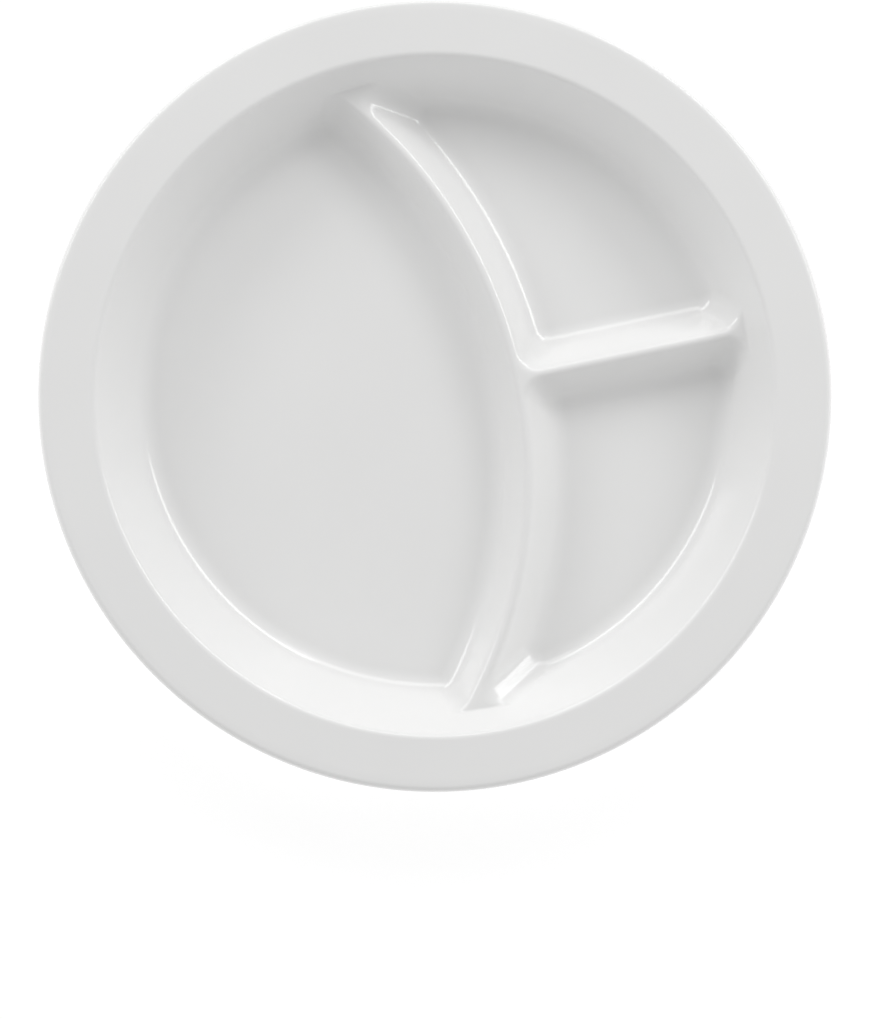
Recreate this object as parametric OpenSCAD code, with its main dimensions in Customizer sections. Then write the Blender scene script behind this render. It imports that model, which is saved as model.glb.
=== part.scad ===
// Divided compartment plate, moulded in one piece, with three wells and hollow dividers.
// Z is up, the table is at Z 0 and the Z axis is the plate's own axis.
// Both sides of the plane Y 0 are alike, and the short divider points to +X.

/* [Plate] */
// Outside diameter of the rim
plate_d = 254; // [230:1:280]
// Height from the table to the top of the rim
plate_h = 25.4; // [23:0.1:30]
// Thickness of the floors and of the dividers' walls
floor_t = 3.2; // [2.6:0.1:3.8]
// Thickness of the sloping outer wall at half height
side_t = 4; // [3.6:0.1:5]

/* [Rim] */
// Width of the flat rim, from its edge to the corner of the wells
rim_w = 18; // [14:0.5:24]
// Thickness of the rim at its rounded edge
rim_t = 4.2; // [3.4:0.1:5]
// Angle at which the rim's underside falls towards the wall
rim_fall = 4; // [1:0.5:6]
// Radius over the rim's inner edge
lip_r = 4; // [2:0.5:6]
// Radius in the corner under the rim
under_r = 1.5; // [0.5:0.5:2.5]

/* [Wells] */
// Lean of the wells' walls, measured from upright
wall_lean = 36; // [32:1:38]
// Radius from the walls into the floor of a well
well_r = 8.5; // [6:0.5:9]
// Lean of the plate's outer wall, measured from upright
side_lean = 31; // [28:1:34]
// Radius from the outer wall into the base
base_r = 18; // [10:1:20]

/* [Dividers] */
// Height of a divider's crest over the floor
crest_h = 11.5; // [9.5:0.5:13]
// Radius over a divider's crest
crest_r = 2.5; // [1.5:0.5:3.5]
// Radius in the roof of the hollow under a divider
roof_r = 2; // [1:0.5:3]
// Radius of the long divider's bow, along its crest
bow_r = 156; // [140:1:190]
// Distance of the bow's middle from the plate's axis
bow_reach = 27.3; // [20:0.1:32]

/* [Foot] */
// Height of the foot under the base
foot_h = 1; // [0.6:0.1:1.5]
// Outside diameter of the foot's flat underside
foot_d = 118; // [110:1:126]
// Width of the foot's flat underside
foot_w = 4; // [3:0.5:5]
// Angle covered by the foot under the large well
foot_span = 142; // [110:1:150]
// Distance of the small wells' feet from the hollows of the dividers
foot_gap = 0; // [0:0.1:2]

/* [Hidden] */
$fn = 120;
overrun = 2;
wide_steps = 6;
narrow_steps = 5;
seam_steps = 5;
seam_feet = 3;
seat_in = 0.6;
climb_share = 1.3;
ledge = 0.2;
half = 0.5;
melamine = "whitesmoke";

outer_r = plate_d / 2;
rim_z = plate_h;
floor_z = foot_h + floor_t;
slope = 90 - wall_lean;

// The corners of the wells' outer wall, before rounding
lip_c = [outer_r - rim_w, rim_z];
well_c = [lip_c[0] - (rim_z - floor_z) * tan(wall_lean), floor_z];

// The outer wall is placed by its thickness at half height
half_z = (rim_z + foot_h) / 2;
half_x = lip_c[0] - (rim_z - half_z) * tan(wall_lean) + side_t / cos(wall_lean);
base_c = [half_x - (half_z - foot_h) * tan(side_lean), foot_h];

// The rounded edge of the rim, and the corner of its underside with the outer wall
edge_r = rim_t / 2;
edge_c = [outer_r - edge_r, rim_z - edge_r];
edge_low = edge_c + edge_r * unit(rim_fall - 90);
under_x = (half_x + (edge_low[1] - edge_low[0] * tan(rim_fall) - half_z) * tan(side_lean))
    / (1 - tan(rim_fall) * tan(side_lean));
under_c = [under_x, edge_low[1] - (edge_low[0] - under_x) * tan(rim_fall)];

// The dividers' sections: where their slopes would meet above and at the floor
peak_z = floor_z + crest_h + crest_r * (1 / sin(wall_lean) - 1);
foot_x = (peak_z - floor_z) * tan(wall_lean);
ridge_w = foot_x + well_r * tan(45 - wall_lean / 2);
hollow_z = peak_z - floor_t / sin(wall_lean);
crest_z = floor_z + crest_h;
roof_z = hollow_z - roof_r * (1 / sin(wall_lean) - 1);

// Radius into the hollows, which keeps the walls' thickness, and the height that a ball climbs
// in a corner, enough to pass the crests
mouth_r = well_r + floor_t;
climb = crest_h * climb_share;

// The long divider is a bow about a point on the X axis
bow_x = bow_reach - bow_r;

// The foot's middle line, and the angle at which it meets the long divider's crest
foot_r = (foot_d - foot_w) / 2;
foot_turn = acos(cross_bow(foot_r, bow_r, 1)[0] / foot_r);

function unit(angle) = [cos(angle), sin(angle)];

// Where the radius r about the plate's axis meets the radius q about the bow's middle
function cross_bow(r, q, side) =
    let (x = (r * r + bow_x * bow_x - q * q) / (2 * bow_x)) [x, side * sqrt(r * r - x * x)];

// Points along an arc
function arc(centre, radius, from, to, steps) =
    [for (i = [0 : steps]) centre + radius * unit(from + (to - from) * i / steps)];

// The arc that rounds a corner, from the side at the angle back to the side at the angle ahead
function round_off(corner, back, ahead, radius, steps) =
    let (turn = ahead - back, way = sign(turn), start = back - 90 * way)
    arc(corner + radius / sin(abs(turn) / 2) * unit(back + turn / 2), radius,
        start, start - way * (180 - abs(turn)), steps);

// Direction a part of the way from one unit vector to another
function between(a, b, share) =
    let (turn = acos(a * b)) (sin((1 - share) * turn) * a + sin(share * turn) * b) / sin(turn);

// Direction in which a ball touches a wall that leans outward, from the wall's direction in plan
function touch(plan, lean) = concat(plan * cos(lean), -sin(lean));

// The places where the outer wall at the radius r meets a divider's flank at the distance off from
// its crest line: the place in plan, then the directions of the two walls as seen from the well
large_end = function(r, off)
    let (p = cross_bow(r, bow_r - off, -1)) [p, p / r, (p - [bow_x, 0]) / (bow_r - off)];
small_end = function(r, off)
    let (p = cross_bow(r, bow_r + off, 1)) [p, p / r, ([bow_x, 0] - p) / (bow_r + off)];
short_end = function(r, off)
    let (p = [sqrt(r * r - off * off), -off]) [p, p / r, [0, 1]];

// The same where the long divider's flank meets the short one's, both at the distance off
fork_end = function(r, off)
    let (q = bow_r + off, p = [bow_x + sqrt(q * q - off * off), off]) [p, ([bow_x, 0] - p) / q, [0, -1]];

// Outline round a ball that touches in the directions a and b: its arc, let into the walls at its ends,
// and a point behind them
function seam_row(middle, a, b, ball, inset, behind) = concat(
    [for (i = [0 : seam_steps]) middle
        + (ball + (i == 0 || i == seam_steps ? seat_in : inset)) * between(a, b, i / seam_steps)],
    [behind + seat_in * between(a, b, half)]);

// What lies between a ball that climbs a corner and the corner itself, from below the floor to the top.
// The corner is the outer wall's foot, as a radius and a height
module seam(end, ball, corner, lean, top) {
    reach = corner[0] - ball * tan(45 - lean / 2);
    side = ridge_w - ball * tan(45 - wall_lean / 2);
    start = end(reach, ridge_w);
    down = [0, 0, -1];
    feet = [for (i = [0 : seam_feet - 1]) let (
        share = (i + half) / seam_feet,
        a = between(down, touch(start[1], lean), share),
        b = between(down, touch(start[2], wall_lean), share),
        middle = concat(start[0], corner[1] + ball))
        seam_row(middle, a, b, ball, i == 0 ? seat_in : 0,
            middle + ball / cos(acos(a * b) * half) * between(a, b, half))];
    walls = [for (i = [0 : seam_steps]) let (
        up = climb * i / seam_steps,
        place = end(reach + up * tan(lean), ridge_w - up * tan(wall_lean)),
        a = touch(place[1], lean),
        b = touch(place[2], wall_lean),
        h = up + ball + ball / cos(acos(a * b) * half) * between(a, b, half)[2],
        fold = end(corner[0] + h * tan(lean), side - h * tan(wall_lean)))
        seam_row(concat(place[0], corner[1] + ball + up), a, b, ball, 0,
            concat(fold[0], corner[1] + h))];
    rows = concat(feet, walls);
    across = len(rows[0]);
    last = len(rows) - 1;
    intersection() {
        polyhedron([for (row = rows, point = row) point], concat(
            [[for (i = [across - 1 : -1 : 0]) i], [for (i = [0 : across - 1]) last * across + i]],
            [for (j = [0 : last - 1], i = [0 : across - 1]) let (next = (i + 1) % across)
                [j * across + i, j * across + next, (j + 1) * across + i]],
            [for (j = [0 : last - 1], i = [0 : across - 1]) let (next = (i + 1) % across)
                [(j + 1) * across + i, j * across + next, (j + 1) * across + next]]));
        translate([0, 0, top - outer_r]) cylinder(r = outer_r, h = outer_r);
    }
}

// Half section of the plate as if it had no wells: base, outer wall, rim and its rounded edge
module body_section() {
    polygon(concat([[0, foot_h]],
        round_off(base_c, 180, 90 - side_lean, base_r, wide_steps),
        round_off(under_c, -90 - side_lean, rim_fall, under_r, narrow_steps),
        arc(edge_c, edge_r, rim_fall - 90, 90, wide_steps),
        [[0, rim_z]]));
}

// Half section of the space within the outer wall, from the floor to above the rim
module bowl_section() {
    lip = round_off(lip_c, -90 - wall_lean, 0, lip_r, narrow_steps);
    polygon(concat([[0, floor_z]],
        round_off(well_c, 180, slope, well_r, wide_steps), lip,
        [lip[narrow_steps] + [0, overrun], [0, rim_z + overrun]]));
}

// Section across a divider or its hollow: two slopes that meet at the top and run out at the bottom
module divider_section(low_z, bottom_z, top_z, bottom_r, top_r, steps) {
    reach = (top_z - bottom_z) * tan(wall_lean);
    right = round_off([reach, bottom_z], 0, 180 - slope, bottom_r, steps);
    left = round_off([-reach, bottom_z], slope, 180, bottom_r, steps);
    polygon(concat([[left[steps][0], low_z], [right[0][0], low_z]], right,
        round_off([0, top_z], -slope, slope - 180, top_r, narrow_steps), left));
}

// The outside of a divider, from below the floors up
module ridge_section() {
    divider_section(floor_z - floor_t / 2, floor_z, peak_z, well_r, crest_r, wide_steps);
}

// The hollow under a divider, which leaves its walls as thick as the floors
module hollow_section() {
    divider_section(foot_h - overrun, foot_h, hollow_z, mouth_r, roof_r, narrow_steps);
}

// Turns a section about the middle of the long divider's bow
module along_bow() {
    translate([bow_x, 0, 0]) rotate_extrude() translate([bow_r, 0]) children();
}

// Sweeps a section along the short divider, from the long divider's crest past the rim
module along_short() {
    translate([bow_reach, 0, 0]) rotate([90, 0, 90]) linear_extrude(outer_r) children();
}

// The three wells as one space: the inside of the outer wall without the dividers
module wells() {
    difference() {
        rotate_extrude() bowl_section();
        along_bow() ridge_section();
        along_short() ridge_section();
    }
}

// The hollows under the dividers, open at the outer wall
module hollows() {
    along_bow() hollow_section();
    along_short() hollow_section();
}

// The corners of the wells, filled to the ball that makes the fillets, with a flat end on each divider
module well_corners() {
    for (side = [0, 1]) mirror([0, side, 0]) {
        seam(large_end, well_r, well_c, wall_lean, crest_z);
        seam(small_end, well_r, well_c, wall_lean, crest_z);
        seam(short_end, well_r, well_c, wall_lean, crest_z);
        seam(fork_end, well_r, well_c, wall_lean, crest_z);
    }
}

// The corners beside the hollows' mouths, rounded so that the walls keep their thickness there
module mouth_corners() {
    for (side = [0, 1]) mirror([0, side, 0]) {
        seam(large_end, mouth_r, base_c, side_lean, roof_z - ledge);
        seam(small_end, mouth_r, base_c, side_lean, roof_z - ledge);
        seam(short_end, mouth_r, base_c, side_lean, roof_z - ledge);
    }
}

// One length of the foot from an angle over a span, with sloping sides
module foot_arc(from, span) {
    bottom = foot_w / 2;
    top = bottom + foot_h;
    rotate([0, 0, from]) rotate_extrude(angle = span) translate([foot_r, 0])
        polygon([[-bottom, 0], [bottom, 0], [top, foot_h], [top, foot_h + floor_t / 2],
            [-top, foot_h + floor_t / 2], [-top, foot_h]]);
}

// Section of the space that the foot leaves free along a hollow, with sloping sides
module gap_section() {
    low = ridge_w + foot_gap + overrun;
    high = ridge_w + foot_gap - foot_h - floor_t;
    polygon([[-low, -overrun], [low, -overrun], [high, foot_h + floor_t], [-high, foot_h + floor_t]]);
}

// The foot: one length under each well, none across a divider's hollow
module foot() {
    foot_arc(180 - foot_span / 2, foot_span);
    difference() {
        foot_arc(-foot_turn, 2 * foot_turn);
        along_bow() gap_section();
        along_short() gap_section();
    }
}

module plate() {
    color(melamine) {
        difference() {
            union() {
                difference() {
                    rotate_extrude() body_section();
                    wells();
                    hollows();
                }
                well_corners();
            }
            mouth_corners();
        }
        foot();
    }
}

plate();
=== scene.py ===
"""Divided compartment plate of white melamine, seen from straight above on a pale table.

The plate is one moulding, so it is one piece. Its mesh starts as a spun disc with a rounded edge, is made
finer where the shape turns, and is then pressed to two skins, each of them a height over the plan of the
plate. The plate's sizes are in millimetres until its mesh is scaled at the end, the studio's are in metres.
"""

from __future__ import annotations

import logging
import math
from dataclasses import dataclass, field
from enum import Enum

import bmesh
import bpy
import numpy as np
from mathutils import Matrix, Vector

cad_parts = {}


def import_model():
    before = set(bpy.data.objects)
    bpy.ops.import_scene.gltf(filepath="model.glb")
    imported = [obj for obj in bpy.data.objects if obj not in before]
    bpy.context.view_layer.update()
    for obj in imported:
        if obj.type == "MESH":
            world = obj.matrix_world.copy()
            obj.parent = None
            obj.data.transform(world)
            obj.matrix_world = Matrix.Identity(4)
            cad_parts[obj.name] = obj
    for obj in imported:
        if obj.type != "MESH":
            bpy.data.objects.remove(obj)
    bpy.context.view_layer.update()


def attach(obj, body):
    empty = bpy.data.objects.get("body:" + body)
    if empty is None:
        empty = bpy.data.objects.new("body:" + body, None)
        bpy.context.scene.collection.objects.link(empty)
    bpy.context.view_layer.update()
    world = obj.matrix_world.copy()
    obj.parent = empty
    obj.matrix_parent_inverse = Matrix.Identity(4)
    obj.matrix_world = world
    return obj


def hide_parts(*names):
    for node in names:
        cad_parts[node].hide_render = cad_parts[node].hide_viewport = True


LOG = logging.getLogger("plate")
MM = 0.001
LEAST_BLEND = 1e-9
LEAST_LENGTH = 1e-6
Array = np.ndarray


class Face(Enum):
    """The two skins of the plate."""

    TOP = "top"
    UNDER = "under"


class Side(Enum):
    """The two sides of the plate's mirror plane, each by the sign of its Y."""

    LEFT = 1.0
    RIGHT = -1.0


def fillet_start(radius: float, lean: float) -> float:
    """Distance from the corner of a level face and a wall to where the fillet between them starts.

    Args:
        radius: Radius of the fillet.
        lean: Lean of the wall from upright, in degrees.

    Returns:
        The distance along the level face.
    """
    return radius * math.tan(math.radians((90.0 - lean) / 2.0))


@dataclass(frozen=True)
class PlateSizes:
    """Sizes of the plate in millimetres and degrees, as the CAD part has them."""

    plate_d: float = 254.0
    rim_z: float = 25.4
    rim_w: float = 18.0
    rim_t: float = 4.2
    rim_fall: float = 4.0
    floor_t: float = 3.2
    side_t: float = 4.0
    wall_lean: float = 36.0
    well_r: float = 8.5
    side_lean: float = 31.0
    base_r: float = 18.0
    crest_h: float = 11.5
    crest_r: float = 2.5
    roof_r: float = 2.0
    bow_r: float = 156.0
    bow_reach: float = 27.3
    foot_h: float = 1.0
    foot_d: float = 118.0
    foot_w: float = 4.0
    foot_span: float = 142.0
    foot_gap: float = 0.0

    @property
    def outer_r(self) -> float:
        """Outside radius of the rim."""
        return self.plate_d / 2.0

    @property
    def mouth_r(self) -> float:
        """Radius of the corner between the rim and the wells."""
        return self.outer_r - self.rim_w

    @property
    def edge_r(self) -> float:
        """Radius of the rim's rounded edge."""
        return self.rim_t / 2.0

    @property
    def edge_x(self) -> float:
        """Distance from the plate's axis to the middle of the rim's rounded edge."""
        return self.outer_r - self.edge_r

    @property
    def low_edge(self) -> tuple[float, float]:
        """Place where the rounded edge meets the rim's underside.

        Returns:
            Distance from the plate's axis, and height.
        """
        fall = math.radians(self.rim_fall)
        low_z = self.rim_z - self.edge_r - self.edge_r * math.cos(fall)
        return self.edge_x + self.edge_r * math.sin(fall), low_z

    @property
    def floor_z(self) -> float:
        """Height of the wells' floors."""
        return self.foot_h + self.floor_t

    @property
    def crest_z(self) -> float:
        """Height of the dividers' crests."""
        return self.floor_z + self.crest_h

    @property
    def bow_x(self) -> float:
        """Place of the long divider's centre of curvature on the X axis."""
        return self.bow_reach - self.bow_r

    @property
    def lean(self) -> float:
        """Lean of the wells' walls from upright, in radians."""
        return math.radians(self.wall_lean)

    @property
    def rise(self) -> float:
        """Rise of a well's wall for each millimetre outward."""
        return 1.0 / math.tan(self.lean)

    @property
    def peak_over(self) -> float:
        """Height of the point where a divider's flanks would meet, over its rounded crest."""
        return self.over(self.crest_r)

    @property
    def ridge_w(self) -> float:
        """Distance from a divider's crest line to the edge of the floor beside it."""
        return (self.crest_h + self.peak_over) / self.rise + fillet_start(self.well_r, self.wall_lean)

    @property
    def floor_r(self) -> float:
        """Radius of the floors' edge under the outer wall."""
        corner = self.mouth_r - (self.rim_z - self.floor_z) / self.rise
        return corner - fillet_start(self.well_r, self.wall_lean)

    @property
    def foot_r(self) -> float:
        """Radius of the middle of the foot's ring."""
        return (self.foot_d - self.foot_w) / 2.0

    def over(self, radius: float) -> float:
        """Height of the point where two flanks would meet, over the rounding between them.

        Args:
            radius: Radius of the rounding.

        Returns:
            The height.
        """
        return radius * (1.0 / math.sin(self.lean) - 1.0)

    def crest_gap(self, x: Array, y: Array) -> Array:
        """Plan distance to the nearest crest line of a divider.

        Args:
            x: Points' X.
            y: Points' Y.

        Returns:
            The distances.
        """
        long_gap = np.abs(np.hypot(x - self.bow_x, y) - self.bow_r)
        short_gap = np.where(x > self.bow_reach, np.abs(y), np.hypot(x - self.bow_reach, y))
        return np.minimum(long_gap, short_gap)

    def past_span(self, x: Array, y: Array) -> Array:
        """Degrees past the ends of the foot's arc under the large well.

        Args:
            x: Points' X.
            y: Points' Y.

        Returns:
            The angles, negative along the arc.
        """
        return np.degrees(np.abs(np.arctan2(y, -x))) - self.foot_span / 2.0


def soft_min(a: Array, b: Array | float, k: Array | float) -> Array:
    """The lower of two heights, with the edge where they cross rounded off.

    Args:
        a: First heights.
        b: Second heights.
        k: Difference of height within which they blend.

    Returns:
        The blended heights.
    """
    k = np.maximum(k, LEAST_BLEND)
    near = np.maximum(k - np.abs(a - b), 0.0)
    return np.minimum(a, b) - near * near / (4.0 * k)


def soft_max(a: Array, b: Array | float, k: Array | float) -> Array:
    """The higher of two heights, with the corner where they cross filled in.

    Args:
        a: First heights.
        b: Second heights.
        k: Difference of height within which they blend.

    Returns:
        The blended heights.
    """
    return -soft_min(-a, -b, k)


def grown(k: float, gap: Array) -> Array:
    """A blend width that fades to nothing where a gap closes, and is never wider than the gap.

    Args:
        k: Full blend width.
        gap: Gap that the blend needs.

    Returns:
        The blend width at each point.
    """
    return k * (1.0 - np.exp(-np.maximum(gap, 0.0) / k))


@dataclass(frozen=True)
class RoundWall:
    """A wall along a circle: the outer wall, or the flank of the bowed divider."""

    centre_x: float
    radius: float
    inward: bool = False

    def reach(self, x: Array, y: Array) -> Array:
        """Distance past the floor's edge, towards the wall.

        Args:
            x: Points' X.
            y: Points' Y.

        Returns:
            The distances, negative over the floor.
        """
        distance = np.hypot(x - self.centre_x, y) - self.radius
        return -distance if self.inward else distance

    def outward(self, x: Array, y: Array) -> tuple[Array, Array]:
        """Unit vectors from the floor into the wall.

        Args:
            x: Points' X.
            y: Points' Y.

        Returns:
            The vectors' X and Y.
        """
        length = np.maximum(np.hypot(x - self.centre_x, y), LEAST_LENGTH)
        sign = -1.0 if self.inward else 1.0
        return sign * (x - self.centre_x) / length, sign * y / length


@dataclass(frozen=True)
class StraightWall:
    """The flank of the short divider, on one side of the mirror plane."""

    offset: float
    side: Side

    def reach(self, x: Array, y: Array) -> Array:
        """Distance past the floor's edge, towards the wall.

        Args:
            x: Points' X, which a straight wall doesn't need.
            y: Points' Y.

        Returns:
            The distances, negative over the floor.
        """
        return self.offset - self.side.value * y

    def outward(self, x: Array, y: Array) -> tuple[Array, Array]:
        """Unit vectors from the floor into the wall.

        Args:
            x: Points' X.
            y: Points' Y.

        Returns:
            The vectors' X and Y.
        """
        return np.zeros_like(x), np.full_like(y, -self.side.value)


Wall = RoundWall | StraightWall


@dataclass(frozen=True)
class Corner:
    """Two walls of a well that meet, and a point near there from which their seam is looked for."""

    first: Wall
    second: Wall
    near: tuple[float, float]


@dataclass(frozen=True)
class Well:
    """One well: the space that a ball can roll through between sloping walls, over a flat floor."""

    walls: tuple[Wall, ...]
    corners: tuple[Corner, ...]
    ball_r: float
    rise: float
    seam_steps: int = 220
    seam_reach: float = 18.0
    seam_rounds: int = 30
    batch: int = 4000

    @property
    def touch(self) -> float:
        """Plan distance from the ball's centre to where it touches a wall."""
        return self.ball_r * self.rise / math.hypot(1.0, self.rise)

    def lift(self, reach: Array) -> Array:
        """Height of one wall over the floor, with the fillet at its foot.

        Args:
            reach: Distance past the floor's edge.

        Returns:
            The heights.
        """
        inner = np.clip(reach, 0.0, self.touch)
        arc = self.ball_r - np.sqrt(self.ball_r**2 - inner**2)
        return arc + self.rise * np.maximum(reach - self.touch, 0.0)

    def seam(self, corner: Corner) -> tuple[Array, Array, Array]:
        """Places of the ball's centre while it touches both walls of a corner.

        Args:
            corner: The corner.

        Returns:
            X, Y and the distance past both floor edges, from the floor up.
        """
        reach = np.linspace(0.0, self.seam_reach, self.seam_steps)
        x = np.full_like(reach, corner.near[0])
        y = np.full_like(reach, corner.near[1])
        for _ in range(self.seam_rounds):
            ax, ay = corner.first.outward(x, y)
            bx, by = corner.second.outward(x, y)
            miss_a = reach - corner.first.reach(x, y)
            miss_b = reach - corner.second.reach(x, y)
            det = ax * by - ay * bx
            x = x + (miss_a * by - miss_b * ay) / det
            y = y + (ax * miss_b - bx * miss_a) / det
        return x, y, reach

    def touches(self, wall: Wall, other: Wall, x: Array, y: Array) -> Array:
        """Where a ball that touches one wall over a point stays clear of the other wall.

        Args:
            wall: The wall that is touched.
            other: The wall to stay clear of.
            x: Points' X.
            y: Points' Y.

        Returns:
            True where the wall alone gives the height.
        """
        reach = wall.reach(x, y)
        centre = np.maximum(reach - self.touch, 0.0)
        nx, ny = wall.outward(x, y)
        back = reach - centre
        return (reach > 0.0) & (other.reach(x - nx * back, y - ny * back) <= centre)

    def height(self, x: Array, y: Array) -> Array:
        """Height of the well over its floor, rising past the crests without end.

        Args:
            x: Points' X.
            y: Points' Y.

        Returns:
            The heights.
        """
        z = np.max([self.lift(wall.reach(x, y)) for wall in self.walls], axis=0)
        for corner in self.corners:
            a, b = corner.first.reach(x, y), corner.second.reach(x, y)
            filled = (np.maximum(a, b) > 0.0) & (np.minimum(a, b) > -self.ball_r)
            filled &= ~self.touches(corner.first, corner.second, x, y)
            filled &= ~self.touches(corner.second, corner.first, x, y)
            index = np.nonzero(filled)[0]
            seam_x, seam_y, reach = self.seam(corner)
            for part in np.array_split(index, max(1, len(index) // self.batch)):
                gap2 = (x[part, None] - seam_x) ** 2 + (y[part, None] - seam_y) ** 2
                drop = np.sqrt(np.maximum(self.ball_r**2 - gap2, 0.0))
                ball = np.where(gap2 < self.ball_r**2, self.ball_r + self.rise * reach - drop, np.inf)
                low = ball.min(axis=1) if len(part) else np.zeros(0)
                z[part] = np.where(np.isfinite(low), np.maximum(low, z[part]), z[part])
        return z


@dataclass(frozen=True)
class WellSet:
    """The three wells of the plate, for one size of ball.

    The four points lie near the corners of the floors, on the left of the mirror plane.
    """

    sizes: PlateSizes
    ball_r: float
    near_large_end: tuple[float, float] = (-20.0, 86.0)
    near_small_end: tuple[float, float] = (17.0, 87.0)
    near_short_end: tuple[float, float] = (88.0, 14.0)
    near_fork: tuple[float, float] = (41.0, 14.0)

    @property
    def outer(self) -> RoundWall:
        """The plate's outer wall."""
        return RoundWall(0.0, self.sizes.floor_r)

    @property
    def bow_large(self) -> RoundWall:
        """The long divider's flank towards the large well."""
        return RoundWall(self.sizes.bow_x, self.sizes.bow_r - self.sizes.ridge_w)

    @property
    def bow_small(self) -> RoundWall:
        """The long divider's flank towards the small wells."""
        return RoundWall(self.sizes.bow_x, self.sizes.bow_r + self.sizes.ridge_w, inward=True)

    def short(self, side: Side) -> StraightWall:
        """The short divider's flank.

        Args:
            side: Side of the mirror plane.

        Returns:
            The flank's wall.
        """
        return StraightWall(self.sizes.ridge_w, side)

    def corner(self, first: Wall, second: Wall, near: tuple[float, float], side: Side) -> Corner:
        """A corner of two walls, on one side of the mirror plane.

        Args:
            first: One wall.
            second: The other wall.
            near: A point near the corner, on the left side.
            side: The side that the corner is on.

        Returns:
            The corner.
        """
        return Corner(first, second, (near[0], near[1] * side.value))

    def fork(self, side: Side) -> Corner:
        """The corner where the short divider leaves the long one.

        Args:
            side: Side of the mirror plane.

        Returns:
            The corner.
        """
        return self.corner(self.bow_small, self.short(side), self.near_fork, side)

    def large(self) -> Well:
        """The large well.

        Returns:
            The well.
        """
        walls = (self.outer, self.bow_large)
        corners = tuple(self.corner(*walls, self.near_large_end, side) for side in Side)
        return Well(walls, corners, self.ball_r, self.sizes.rise)

    def small(self, side: Side) -> Well:
        """One of the small wells.

        Args:
            side: Side of the mirror plane.

        Returns:
            The well.
        """
        walls = (self.outer, self.bow_small, self.short(side))
        corners = (
            self.corner(self.outer, self.bow_small, self.near_small_end, side),
            self.corner(self.outer, self.short(side), self.near_short_end, side),
            self.fork(side),
        )
        return Well(walls, corners, self.ball_r, self.sizes.rise)

    def wells(self) -> list[Well]:
        """The large well and the two small ones."""
        return [self.large(), *[self.small(side) for side in Side]]

    def hollow_sides(self) -> list[Well]:
        """The wells without the outer wall, whose skins leave the hollows between them.

        Returns:
            The wells, large one first.
        """
        rise = self.sizes.rise
        sides = [Well((self.bow_large,), (), self.ball_r, rise)]
        for side in Side:
            walls = (self.bow_small, self.short(side))
            sides.append(Well(walls, (self.fork(side),), self.ball_r, rise))
        return sides


@dataclass(frozen=True)
class TopSkin:
    """Upper face of the plate: floors, walls, dividers, lip and flat rim."""

    sizes: PlateSizes
    lip_r: float = 2.6
    shelf_r: float = 1.4

    def bowl(self, r: Array) -> Array:
        """Height of the plate without dividers, from the floor to the rim.

        Args:
            r: Distance from the plate's axis.

        Returns:
            The heights.
        """
        s = self.sizes
        well = Well((), (), s.well_r, s.rise)
        wall = s.floor_z + well.lift(r - s.floor_r)
        tangent = fillet_start(self.lip_r, s.wall_lean)
        start = s.mouth_r - tangent * math.sin(s.lean)
        across = np.clip(r - (s.mouth_r + tangent), -self.lip_r, 0.0)
        lip = s.rim_z - self.lip_r + np.sqrt(self.lip_r**2 - across**2)
        return np.where(r < start, wall, lip)

    def shelf(self, r: Array) -> Array:
        """Height of the dividers' crests, up to the outer wall and with a small fillet there.

        Args:
            r: Distance from the plate's axis.

        Returns:
            The heights.
        """
        s = self.sizes
        meet = s.mouth_r - (s.rim_z - s.crest_z) / s.rise
        start = meet - fillet_start(self.shelf_r, s.wall_lean)
        end = start + self.shelf_r * math.cos(s.lean)
        across = np.clip(r - start, 0.0, self.shelf_r)
        fillet = s.crest_z + self.shelf_r - np.sqrt(self.shelf_r**2 - across**2)
        return np.where(r < end, fillet, np.maximum(self.bowl(r), s.crest_z))

    def height(self, x: Array, y: Array) -> Array:
        """Height of the upper face.

        Args:
            x: Points' X.
            y: Points' Y.

        Returns:
            The heights.
        """
        s = self.sizes
        r = np.hypot(x, y)
        wells = WellSet(s, s.well_r).wells()
        low = s.floor_z + np.min([well.height(x, y) for well in wells], axis=0)
        over = grown(s.peak_over, low - self.bowl(r))
        return soft_min(low, self.shelf(r), over)


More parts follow.
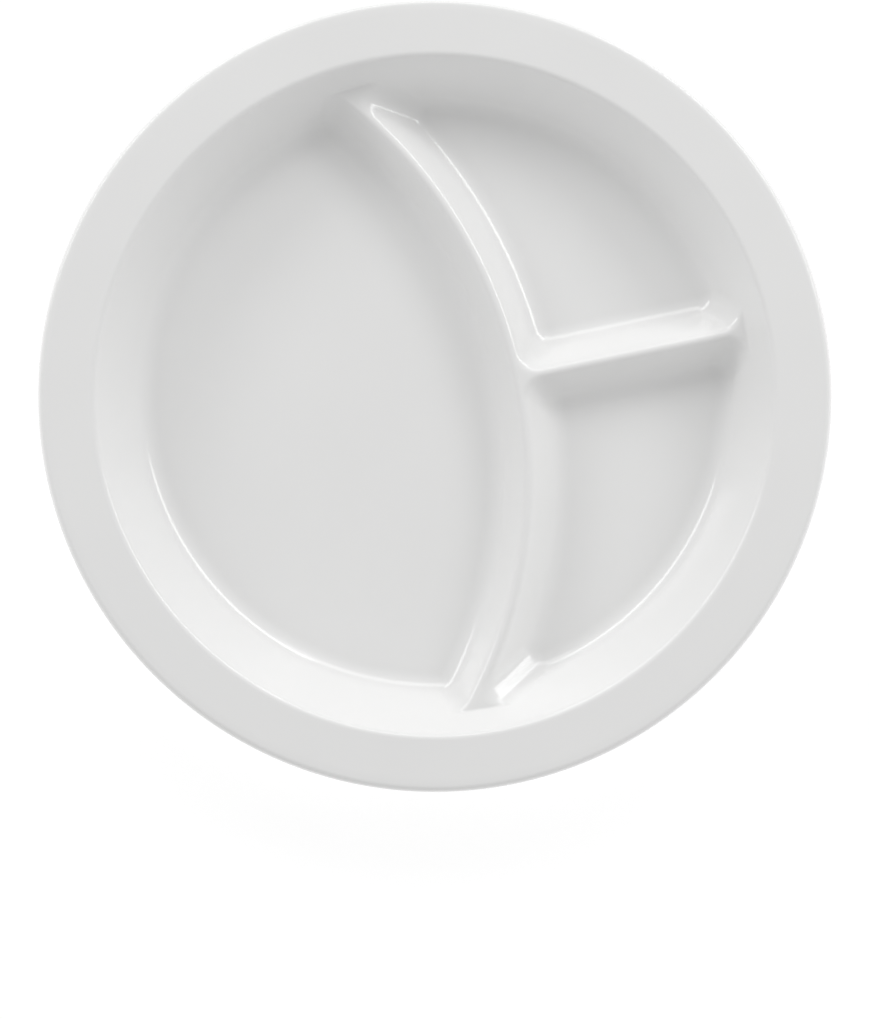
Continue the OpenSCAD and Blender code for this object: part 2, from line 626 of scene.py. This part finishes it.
@dataclass(frozen=True)
class UnderSkin:
    """Lower face of the plate: base, outer wall, rim's underside, hollows and foot.

    The fields that end in k are the differences of height within which two faces blend.
    """

    sizes: PlateSizes
    corner_k: float = 12.0
    under_k: float = 1.2
    roof_k: float = 1.5
    foot_end_k: float = 0.5
    foot_step_k: float = 0.3
    base_band: float = 0.5

    def outer(self, r: Array) -> Array:
        """Height of the lower face without hollows.

        Args:
            r: Distance from the plate's axis.

        Returns:
            The heights.
        """
        s = self.sizes
        lean = math.radians(s.side_lean)
        half_z = (s.rim_z + s.foot_h) / 2.0
        half_x = s.mouth_r - (s.rim_z - half_z) / s.rise + s.side_t / math.cos(s.lean)
        corner = half_x - (half_z - s.foot_h) * math.tan(lean)
        start = corner - fillet_start(s.base_r, s.side_lean)
        skin = Well((), (), s.base_r, 1.0 / math.tan(lean))
        wall = s.foot_h + skin.lift(r - start)
        low_x, low_z = s.low_edge
        rim = low_z - (low_x - r) * math.tan(math.radians(s.rim_fall))
        return soft_min(wall, rim, self.under_k)

    def foot(self, x: Array, y: Array) -> Array:
        """Height of the foot over the table, as if it reached up without end.

        Args:
            x: Points' X.
            y: Points' Y.

        Returns:
            The heights.
        """
        s = self.sizes
        r = np.hypot(x, y)
        bow_gap = np.hypot(x - s.bow_x, y)
        large = np.radians(s.past_span(x, y)) * s.foot_r
        edge = s.ridge_w + s.foot_gap
        small = np.maximum(edge - np.abs(y), s.bow_r + edge - bow_gap)
        ends = np.minimum(large, small)
        ring = soft_max(np.abs(r - s.foot_r) - s.foot_w / 2.0, ends, self.foot_end_k)
        return soft_max(ring, 0.0, self.foot_step_k)

    def height(self, x: Array, y: Array) -> Array:
        """Height of the lower face.

        Args:
            x: Points' X.
            y: Points' Y.

        Returns:
            The heights.
        """
        s = self.sizes
        outer = self.outer(np.hypot(x, y))
        low = []
        for hollow_side in WellSet(s, s.well_r + s.floor_t).hollow_sides():
            flank = s.foot_h + hollow_side.height(x, y)
            both = np.minimum(outer, flank) - s.foot_h
            low.append(soft_max(outer, flank, grown(self.corner_k, both)))
        flanks = np.min(low, axis=0)
        roof_over = s.over(s.roof_r)
        peak = s.crest_z + s.peak_over - s.floor_t / math.sin(s.lean)
        roof = soft_max(outer, peak - roof_over, self.roof_k)
        z = soft_min(flanks, roof, grown(roof_over, flanks - outer))
        on_base = np.abs(z - s.foot_h) < self.base_band
        return soft_min(z, self.foot(x, y), self.foot_step_k * on_base)


def new_material(name: str) -> tuple[bpy.types.Material, bpy.types.Node, bpy.types.NodeSocket]:
    """Starts a procedural material.

    Args:
        name: The material's name.

    Returns:
        The material, its shader and its Object coordinates.
    """
    material = bpy.data.materials.new(name)
    material.use_nodes = True
    nodes = material.node_tree.nodes
    place = nodes.new("ShaderNodeTexCoord")
    return material, nodes["Principled BSDF"], place.outputs["Object"]


def add_noise(place: bpy.types.NodeSocket, scale: float, detail: float) -> bpy.types.NodeSocket:
    """Adds soft noise to a material.

    Args:
        place: Coordinates that it follows.
        scale: How fine it is, for each metre.
        detail: How many finer layers it has.

    Returns:
        The noise, from 0 to 1.
    """
    tree = place.id_data
    noise = tree.nodes.new("ShaderNodeTexNoise")
    noise.inputs["Scale"].default_value = scale
    noise.inputs["Detail"].default_value = detail
    tree.links.new(place, noise.inputs["Vector"])
    return noise.outputs["Fac"]


@dataclass(frozen=True)
class Shade:
    """A colour with a faint, uneven shade in it, between two strengths of a noise."""

    colour: tuple[float, float, float]
    dark_share: float
    start: float = 0.0
    end: float = 1.0

    def dress(self, noise: bpy.types.NodeSocket, shader: bpy.types.Node) -> None:
        """Gives the colour to a shader.

        Args:
            noise: The noise that the shade follows.
            shader: The shader.
        """
        tree = noise.id_data
        ramp = tree.nodes.new("ShaderNodeValToRGB")
        dark, full = ramp.color_ramp.elements
        dark.position = self.start
        dark.color = (*[c * self.dark_share for c in self.colour], 1.0)
        full.position = self.end
        full.color = (*self.colour, 1.0)
        tree.links.new(noise, ramp.inputs["Fac"])
        tree.links.new(ramp.outputs["Color"], shader.inputs["Base Color"])


@dataclass(frozen=True)
class Melamine:
    """Finish of the plate: glossy white melamine with a faint moulded unevenness.

    The cloud is in the tone, the haze in the gloss and the ripple in the surface. Scales are for each
    metre, and the ripple's depth is in metres.
    """

    name: str = "white_melamine"
    shade: Shade = Shade((0.945, 0.945, 0.94), dark_share=0.985, start=0.3, end=0.7)
    refraction: float = 1.5
    roughness: float = 0.16
    coat: float = 0.35
    coat_roughness: float = 0.08
    cloud_scale: float = 22.0
    cloud_detail: float = 3.0
    haze_scale: float = 55.0
    haze_detail: float = 4.0
    haze_low_share: float = 0.8
    haze_high_share: float = 1.25
    ripple_scale: float = 900.0
    ripple_detail: float = 2.0
    ripple_strength: float = 0.03
    ripple_depth: float = 0.0002

    def material(self) -> bpy.types.Material:
        """The procedural material.

        Returns:
            A new material on Object coordinates.
        """
        material, shader, place = new_material(self.name)
        shader.inputs["IOR"].default_value = self.refraction
        shader.inputs["Coat Weight"].default_value = self.coat
        shader.inputs["Coat Roughness"].default_value = self.coat_roughness
        self.shade.dress(add_noise(place, self.cloud_scale, self.cloud_detail), shader)
        self.add_haze(place, shader)
        self.add_ripple(place, shader)
        return material

    def add_haze(self, place: bpy.types.NodeSocket, shader: bpy.types.Node) -> None:
        """Makes the gloss slightly uneven.

        Args:
            place: Object coordinates.
            shader: The melamine's shader.
        """
        tree = place.id_data
        spread = tree.nodes.new("ShaderNodeMapRange")
        spread.inputs["To Min"].default_value = self.roughness * self.haze_low_share
        spread.inputs["To Max"].default_value = self.roughness * self.haze_high_share
        haze = add_noise(place, self.haze_scale, self.haze_detail)
        tree.links.new(haze, spread.inputs["Value"])
        tree.links.new(spread.outputs["Result"], shader.inputs["Roughness"])

    def add_ripple(self, place: bpy.types.NodeSocket, shader: bpy.types.Node) -> None:
        """Makes the surface slightly uneven.

        Args:
            place: Object coordinates.
            shader: The melamine's shader.
        """
        tree = place.id_data
        bump = tree.nodes.new("ShaderNodeBump")
        bump.inputs["Strength"].default_value = self.ripple_strength
        bump.inputs["Distance"].default_value = self.ripple_depth
        ripple = add_noise(place, self.ripple_scale, self.ripple_detail)
        tree.links.new(ripple, bump.inputs["Height"])
        tree.links.new(bump.outputs["Normal"], shader.inputs["Normal"])


@dataclass(frozen=True)
class PaleTable:
    """Finish of the table: matt, and lit from below so that the plate throws hardly any shadow."""

    name: str = "pale_table"
    shade: Shade = Shade((0.30, 0.30, 0.30), dark_share=0.995)
    roughness: float = 0.9
    gloss: float = 0.1
    glow: float = 0.8
    grain_scale: float = 30.0
    grain_detail: float = 2.0

    def material(self) -> bpy.types.Material:
        """The procedural material.

        Returns:
            A new material on Object coordinates.
        """
        material, shader, place = new_material(self.name)
        shader.inputs["Roughness"].default_value = self.roughness
        shader.inputs["Specular IOR Level"].default_value = self.gloss
        shader.inputs["Emission Color"].default_value = (1.0, 1.0, 1.0, 1.0)
        shader.inputs["Emission Strength"].default_value = self.glow
        self.shade.dress(add_noise(place, self.grain_scale, self.grain_detail), shader)
        return material


@dataclass(frozen=True)
class Fineness:
    """Longest edges of the plate's mesh, and the bands of the plan in which each of them holds.

    Edges and bands are in millimetres. A band reaches that far from a crest line, from the middle of the
    foot's ring or from an end of the foot's arcs. The last four fields are distances from the plate's
    axis.
    """

    plain_edge: float = 4.0
    top_flank_edge: float = 1.05
    under_flank_edge: float = 1.2
    top_crest_edge: float = 0.5
    under_crest_edge: float = 0.8
    foot_end_edge: float = 0.5
    flank_band: float = 15.5
    corner_band: float = 24.0
    top_crest_band: float = 3.4
    shelf_band: float = 12.0
    under_crest_band: float = 3.0
    foot_band: float = 4.0
    foot_end_band: float = 2.5
    corner_from: float = 78.0
    shelf_from: float = 98.0
    shelf_to: float = 103.5
    wall_to: float = 104.5

    def longest(self, sizes: PlateSizes, x: Array, y: Array, top: Array) -> Array:
        """Longest edge that the shape allows at each point.

        Args:
            sizes: Sizes of the plate.
            x: Points' X.
            y: Points' Y.
            top: True on the upper face.

        Returns:
            The lengths in millimetres.
        """
        r = np.hypot(x, y)
        crest = sizes.crest_gap(x, y)
        inside = r < self.wall_to
        flanks = inside & (crest < self.flank_band)
        corners = inside & (crest < self.corner_band) & (r > self.corner_from)
        edge = np.full_like(r, self.plain_edge)
        flank_edge = np.where(top, self.top_flank_edge, self.under_flank_edge)
        edge = np.where(flanks | corners, flank_edge, edge)
        top_crests = top & (crest < self.top_crest_band) & (r < self.shelf_to)
        shelves = top & (crest < self.shelf_band) & (r > self.shelf_from) & (r < self.shelf_to)
        edge = np.where(top_crests | shelves, self.top_crest_edge, edge)
        edge = np.where(~top & inside & (crest < self.under_crest_band), self.under_crest_edge, edge)
        return np.where(self.foot_ends(sizes, x, y) & ~top, self.foot_end_edge, edge)

    def foot_ends(self, sizes: PlateSizes, x: Array, y: Array) -> Array:
        """Where the foot's arcs end. A degree is about a millimetre there.

        Args:
            sizes: Sizes of the plate.
            x: Points' X.
            y: Points' Y.

        Returns:
            True near the ends.
        """
        on_ring = np.abs(np.hypot(x, y) - sizes.foot_r) < self.foot_band
        large_gap = np.abs(sizes.past_span(x, y))
        small_gap = np.abs(sizes.crest_gap(x, y) - sizes.ridge_w - sizes.foot_gap)
        return on_ring & (np.minimum(large_gap, small_gap) < self.foot_end_band)


@dataclass
class DividedPlate:
    """The moulded plate, as one closed mesh.

    Each span of rings has the distance from the axis where it ends and its number of rings. The last span
    of a face, with the rim's steps, ends at the rounded edge. The gaps are in millimetres.
    """

    sizes: PlateSizes = field(default_factory=PlateSizes)
    finish: Melamine = field(default_factory=Melamine)
    fineness: Fineness = field(default_factory=Fineness)
    spokes: int = 240
    edge_steps: int = 12
    rounds: int = 4
    top_spans: tuple[tuple[float, int], ...] = ((84.0, 42), (97.0, 18), (105.0, 7), (107.6, 4), (110.8, 12))
    top_rim_steps: int = 6
    under_spans: tuple[tuple[float, int], ...] = (
        (53.0, 24), (61.0, 22), (82.0, 9), (104.0, 20), (107.0, 3), (112.0, 14)
    )
    under_rim_steps: int = 4
    same_gap: float = 1e-4
    level_gap: float = 1e-5
    edge_gap: float = 0.01

    def rings(self, face: Face) -> list[float]:
        """Radii of the rings on one face, from the axis to the rounded edge.

        Args:
            face: The face.

        Returns:
            The radii in millimetres.
        """
        if face is Face.TOP:
            spans = (*self.top_spans, (self.sizes.edge_x, self.top_rim_steps))
        else:
            spans = (*self.under_spans, (self.sizes.low_edge[0], self.under_rim_steps))
        radii = [0.0]
        for end, steps in spans:
            radii += list(np.linspace(radii[-1], end, steps + 1)[1:])
        return radii

    def section(self) -> list[tuple[float, float]]:
        """Half the section of the flat blank, from the axis over the rim and back underneath.

        Returns:
            Distances from the axis and heights.
        """
        s = self.sizes
        points = [(r, s.rim_z) for r in self.rings(Face.TOP)]
        turn = 180.0 - s.rim_fall
        for step in range(1, self.edge_steps + 1):
            angle = math.radians(90.0 - turn * step / self.edge_steps)
            out = s.edge_x + s.edge_r * math.cos(angle)
            points.append((out, s.rim_z - s.edge_r + s.edge_r * math.sin(angle)))
        low_z = s.low_edge[1]
        return points + [(r, low_z) for r in reversed(self.rings(Face.UNDER)[:-1])]

    def blank(self) -> bmesh.types.BMesh:
        """A flat disc with the rim's rounded edge, spun from half its section.

        Returns:
            The closed mesh, in millimetres.
        """
        bm = bmesh.new()
        verts = [bm.verts.new((r, 0.0, z)) for r, z in self.section()]
        edges = [bm.edges.new(pair) for pair in zip(verts, verts[1:])]
        bmesh.ops.spin(
            bm,
            geom=verts + edges,
            cent=(0.0, 0.0, 0.0),
            axis=(0.0, 0.0, 1.0),
            angle=math.tau,
            steps=self.spokes,
            use_merge=True,
        )
        bmesh.ops.remove_doubles(bm, verts=bm.verts, dist=self.same_gap)
        bmesh.ops.recalc_face_normals(bm, faces=bm.faces)
        return bm

    def refine(self, bm: bmesh.types.BMesh) -> None:
        """Divides the edges that are too long for the shape, a few rounds over.

        Args:
            bm: The flat blank.
        """
        for _ in range(self.rounds):
            edges = list(bm.edges)
            ends = np.array([(*e.verts[0].co, *e.verts[1].co) for e in edges])
            middle = (ends[:, :3] + ends[:, 3:]) / 2.0
            length = np.linalg.norm(ends[:, :3] - ends[:, 3:], axis=1)
            level = np.abs(ends[:, 2] - ends[:, 5]) < self.level_gap
            top = middle[:, 2] > self.sizes.rim_z - self.edge_gap
            longest = self.fineness.longest(self.sizes, middle[:, 0], middle[:, 1], top)
            chosen = [edges[i] for i in np.nonzero(level & (length > longest))[0]]
            if not chosen:
                break
            bmesh.ops.subdivide_edges(bm, edges=chosen, cuts=1, use_grid_fill=True)
        bmesh.ops.triangulate(bm, faces=[f for f in bm.faces if len(f.verts) > 4])

    def press(self, bm: bmesh.types.BMesh) -> None:
        """Moves the flat faces of the blank to the plate's upper and lower skins.

        Args:
            bm: The refined blank.
        """
        s = self.sizes
        verts = list(bm.verts)
        places = np.array([v.co[:] for v in verts])
        r = np.hypot(places[:, 0], places[:, 1])
        low_x, low_z = s.low_edge
        top = (places[:, 2] > s.rim_z - self.same_gap) & (r < s.edge_x - self.edge_gap)
        under = (places[:, 2] < low_z + self.same_gap) & (r < low_x - self.edge_gap)
        for chosen, skin in ((top, TopSkin(s)), (under, UnderSkin(s))):
            index = np.nonzero(chosen)[0]
            heights = skin.height(places[index, 0], places[index, 1])
            for i, height in zip(index, heights):
                verts[i].co.z = height

    def build(self) -> bpy.types.Object:
        """Makes, dresses and places the plate.

        Returns:
            The plate's object.
        """
        bm = self.blank()
        self.refine(bm)
        self.press(bm)
        bmesh.ops.scale(bm, vec=(MM, MM, MM), verts=bm.verts)
        for face in bm.faces:
            face.smooth = True
        mesh = bpy.data.meshes.new("moulded_plate")
        bm.to_mesh(mesh)
        bm.free()
        mesh.materials.append(self.finish.material())
        plate = bpy.data.objects.new("moulded_plate", mesh)
        bpy.context.scene.collection.objects.link(plate)
        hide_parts("plate")
        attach(plate, "root")
        triangles = sum(len(p.vertices) - 2 for p in mesh.polygons)
        LOG.info("plate: %d vertices, %d triangles", len(mesh.vertices), triangles)
        return plate


@dataclass(frozen=True)
class SoftBox:
    """A wide soft light that faces the plate, with its sizes in metres and its power in watts.

    The azimuth is a direction in the photograph, 90 at its top. The elevation is the angle above the table.
    """

    name: str
    width: float
    height: float
    power: float
    azimuth: float
    elevation: float

    def build(self, away: float, turn: float) -> None:
        """Makes the light.

        Args:
            away: Distance from the plate, in metres.
            turn: Turn of the plate in the photograph, in degrees.
        """
        data = bpy.data.lights.new(self.name, "AREA")
        data.shape = "RECTANGLE"
        data.size = self.width
        data.size_y = self.height
        data.energy = self.power
        lamp = bpy.data.objects.new(self.name, data)
        around = math.radians(self.azimuth - turn)
        up = math.radians(self.elevation)
        towards = (math.cos(around) * math.cos(up), math.sin(around) * math.cos(up), math.sin(up))
        place = Vector(towards) * away
        facing = place.to_track_quat("Z", "Y").to_matrix().to_4x4()
        lamp.matrix_world = Matrix.Translation(place) @ facing
        bpy.context.scene.collection.objects.link(lamp)


@dataclass
class Studio:
    """Table, soft lights, surroundings and camera, for the view from straight above.

    Sizes are in metres, the turn in degrees, the sensor in millimetres, and the frame and the place of the
    plate's middle in it in pixels of the photograph. The surroundings have a brightness at table height and
    one straight above.
    """

    sizes: PlateSizes = field(default_factory=PlateSizes)
    table: PaleTable = field(default_factory=PaleTable)
    turn: float = 11.8
    distance: float = 4.0
    frame_h: float = 0.3260
    frame_px: tuple[int, int] = (869, 1019)
    centre_px: tuple[float, float] = (434.8, 395.2)
    sensor: float = 36.0
    sight_from: float = 0.01
    sight_to: float = 20.0
    table_z: float = -0.0002
    table_half: float = 3.0
    table_cells: int = 8
    horizon: float = 0.79
    zenith: float = 0.41
    light_away: float = 3.0
    lights: tuple[SoftBox, ...] = (
        SoftBox("top_light", width=2.6, height=0.9, power=14.0, azimuth=88.0, elevation=38.0),
        SoftBox("left_light", width=2.6, height=0.6, power=18.8, azimuth=137.0, elevation=23.0),
        SoftBox("right_light", width=2.6, height=0.6, power=20.8, azimuth=39.0, elevation=27.0),
    )

    def floor(self) -> bpy.types.Object:
        """Makes the table under the plate.

        Returns:
            The table's object.
        """
        bm = bmesh.new()
        bmesh.ops.create_grid(
            bm,
            x_segments=self.table_cells,
            y_segments=self.table_cells,
            size=self.table_half,
            matrix=Matrix.Translation((0.0, 0.0, self.table_z)),
        )
        mesh = bpy.data.meshes.new("table")
        bm.to_mesh(mesh)
        bm.free()
        mesh.materials.append(self.table.material())
        floor = bpy.data.objects.new("table", mesh)
        bpy.context.scene.collection.objects.link(floor)
        return floor

    def camera(self) -> bpy.types.Object:
        """Makes the camera over the plate's axis, turned as the photograph is.

        Returns:
            The camera's object.
        """
        data = bpy.data.cameras.new("camera")
        data.sensor_fit = "VERTICAL"
        data.sensor_height = self.sensor
        data.sensor_width = self.sensor
        data.lens = self.sensor * self.distance / self.frame_h
        width, height = self.frame_px
        data.shift_x = (width / 2.0 - self.centre_px[0]) / height
        data.shift_y = (self.centre_px[1] - height / 2.0) / height
        data.clip_start = self.sight_from
        data.clip_end = self.sight_to
        camera = bpy.data.objects.new("camera", data)
        camera.location = (0.0, 0.0, self.sizes.rim_z * MM + self.distance)
        camera.rotation_euler = (0.0, 0.0, math.radians(-self.turn))
        bpy.context.scene.collection.objects.link(camera)
        bpy.context.scene.camera = camera
        return camera

    def surroundings(self) -> bpy.types.World:
        """Lights the scene from all round, less from straight above.

        Returns:
            The scene's world.
        """
        world = bpy.data.worlds.new("surroundings")
        world.use_nodes = True
        nodes, links = world.node_tree.nodes, world.node_tree.links
        back = nodes["Background"]
        back.inputs["Color"].default_value = (1.0, 1.0, 1.0, 1.0)
        place = nodes.new("ShaderNodeTexCoord")
        split = nodes.new("ShaderNodeSeparateXYZ")
        links.new(place.outputs["Generated"], split.inputs["Vector"])
        fall = nodes.new("ShaderNodeMapRange")
        fall.inputs["To Min"].default_value = self.horizon
        fall.inputs["To Max"].default_value = self.zenith
        links.new(split.outputs["Z"], fall.inputs["Value"])
        links.new(fall.outputs["Result"], back.inputs["Strength"])
        bpy.context.scene.world = world
        return world

    def build(self) -> None:
        """Makes the table, the surroundings, the lights and the camera."""
        self.floor()
        self.surroundings()
        for light in self.lights:
            light.build(self.light_away, self.turn)
        self.camera()
        bpy.context.scene.view_settings.view_transform = "Standard"
        LOG.info("studio: table, surroundings, %d lights and camera", len(self.lights))


def main() -> None:
    """Loads the frame and builds the plate and the studio."""
    logging.basicConfig(level=logging.INFO, format="%(message)s")
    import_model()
    DividedPlate().build()
    Studio().build()


if __name__ == "__main__":
    main()
